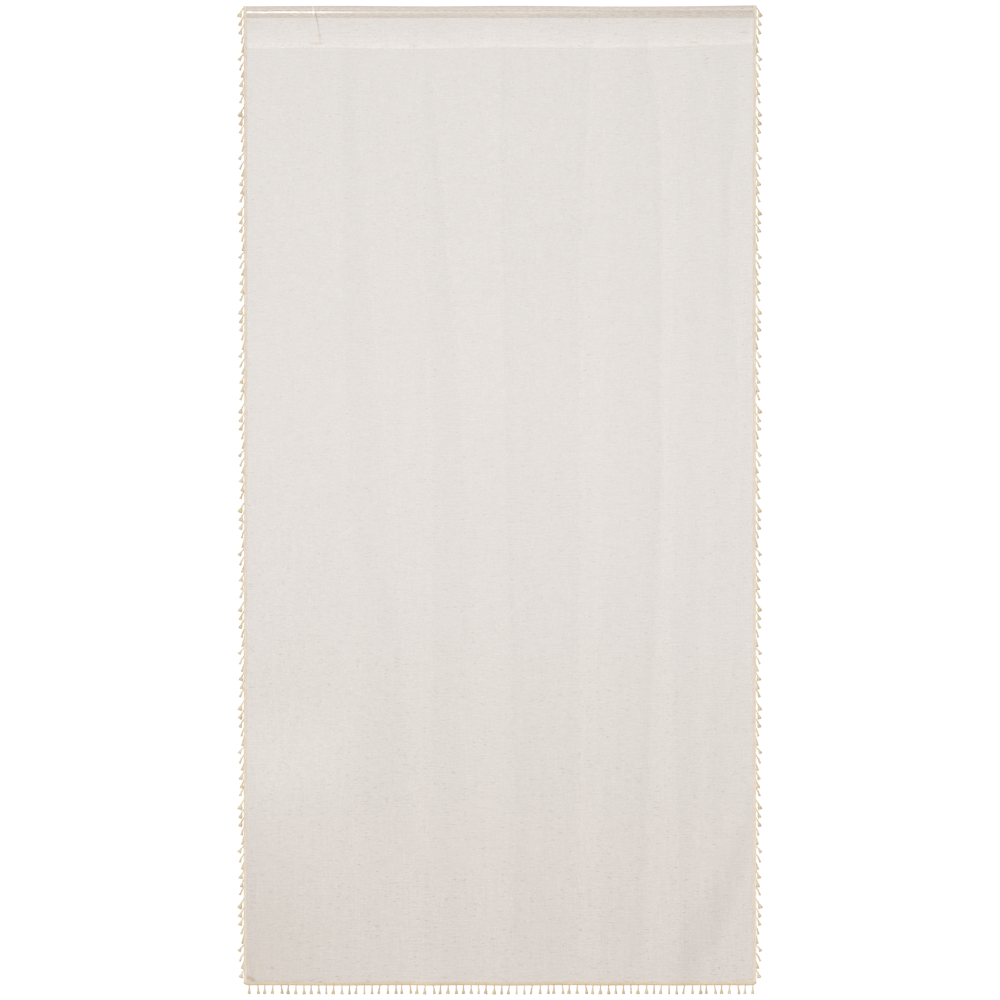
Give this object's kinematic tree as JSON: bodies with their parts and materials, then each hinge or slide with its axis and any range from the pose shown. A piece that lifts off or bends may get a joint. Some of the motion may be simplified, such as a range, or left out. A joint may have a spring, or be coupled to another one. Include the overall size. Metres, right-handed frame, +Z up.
{
  "type": "semi sheer curtain panel with tassel trim on a curtain rod",
  "caption": "Semi sheer curtain panel hung by its rod pocket on a plain round rod, with thread tassel trim down both sides and along the hem.",
  "frame": {"origin": "on the rod's axis at the middle of its length, where the curtain is held up", "axes": "+X along the rod to the right as seen from the front, -Y towards the front, +Z up"},
  "size_m": [1.3021, 0.0353, 2.4492],
  "materials": {
    "sheer_cloth": "linen look plain weave, semi sheer, matt",
    "tassel_thread": "cream and gold cotton thread, matt",
    "rod_metal": "satin steel in a warm champagne tone"
  },
  "bodies": {
    "root": {"panel": "sheer_cloth", "rod": "rod_metal", "trim_left": "tassel_thread", "trim_right": "tassel_thread", "trim_bottom": "tassel_thread"}
  },
  "joints": []
}
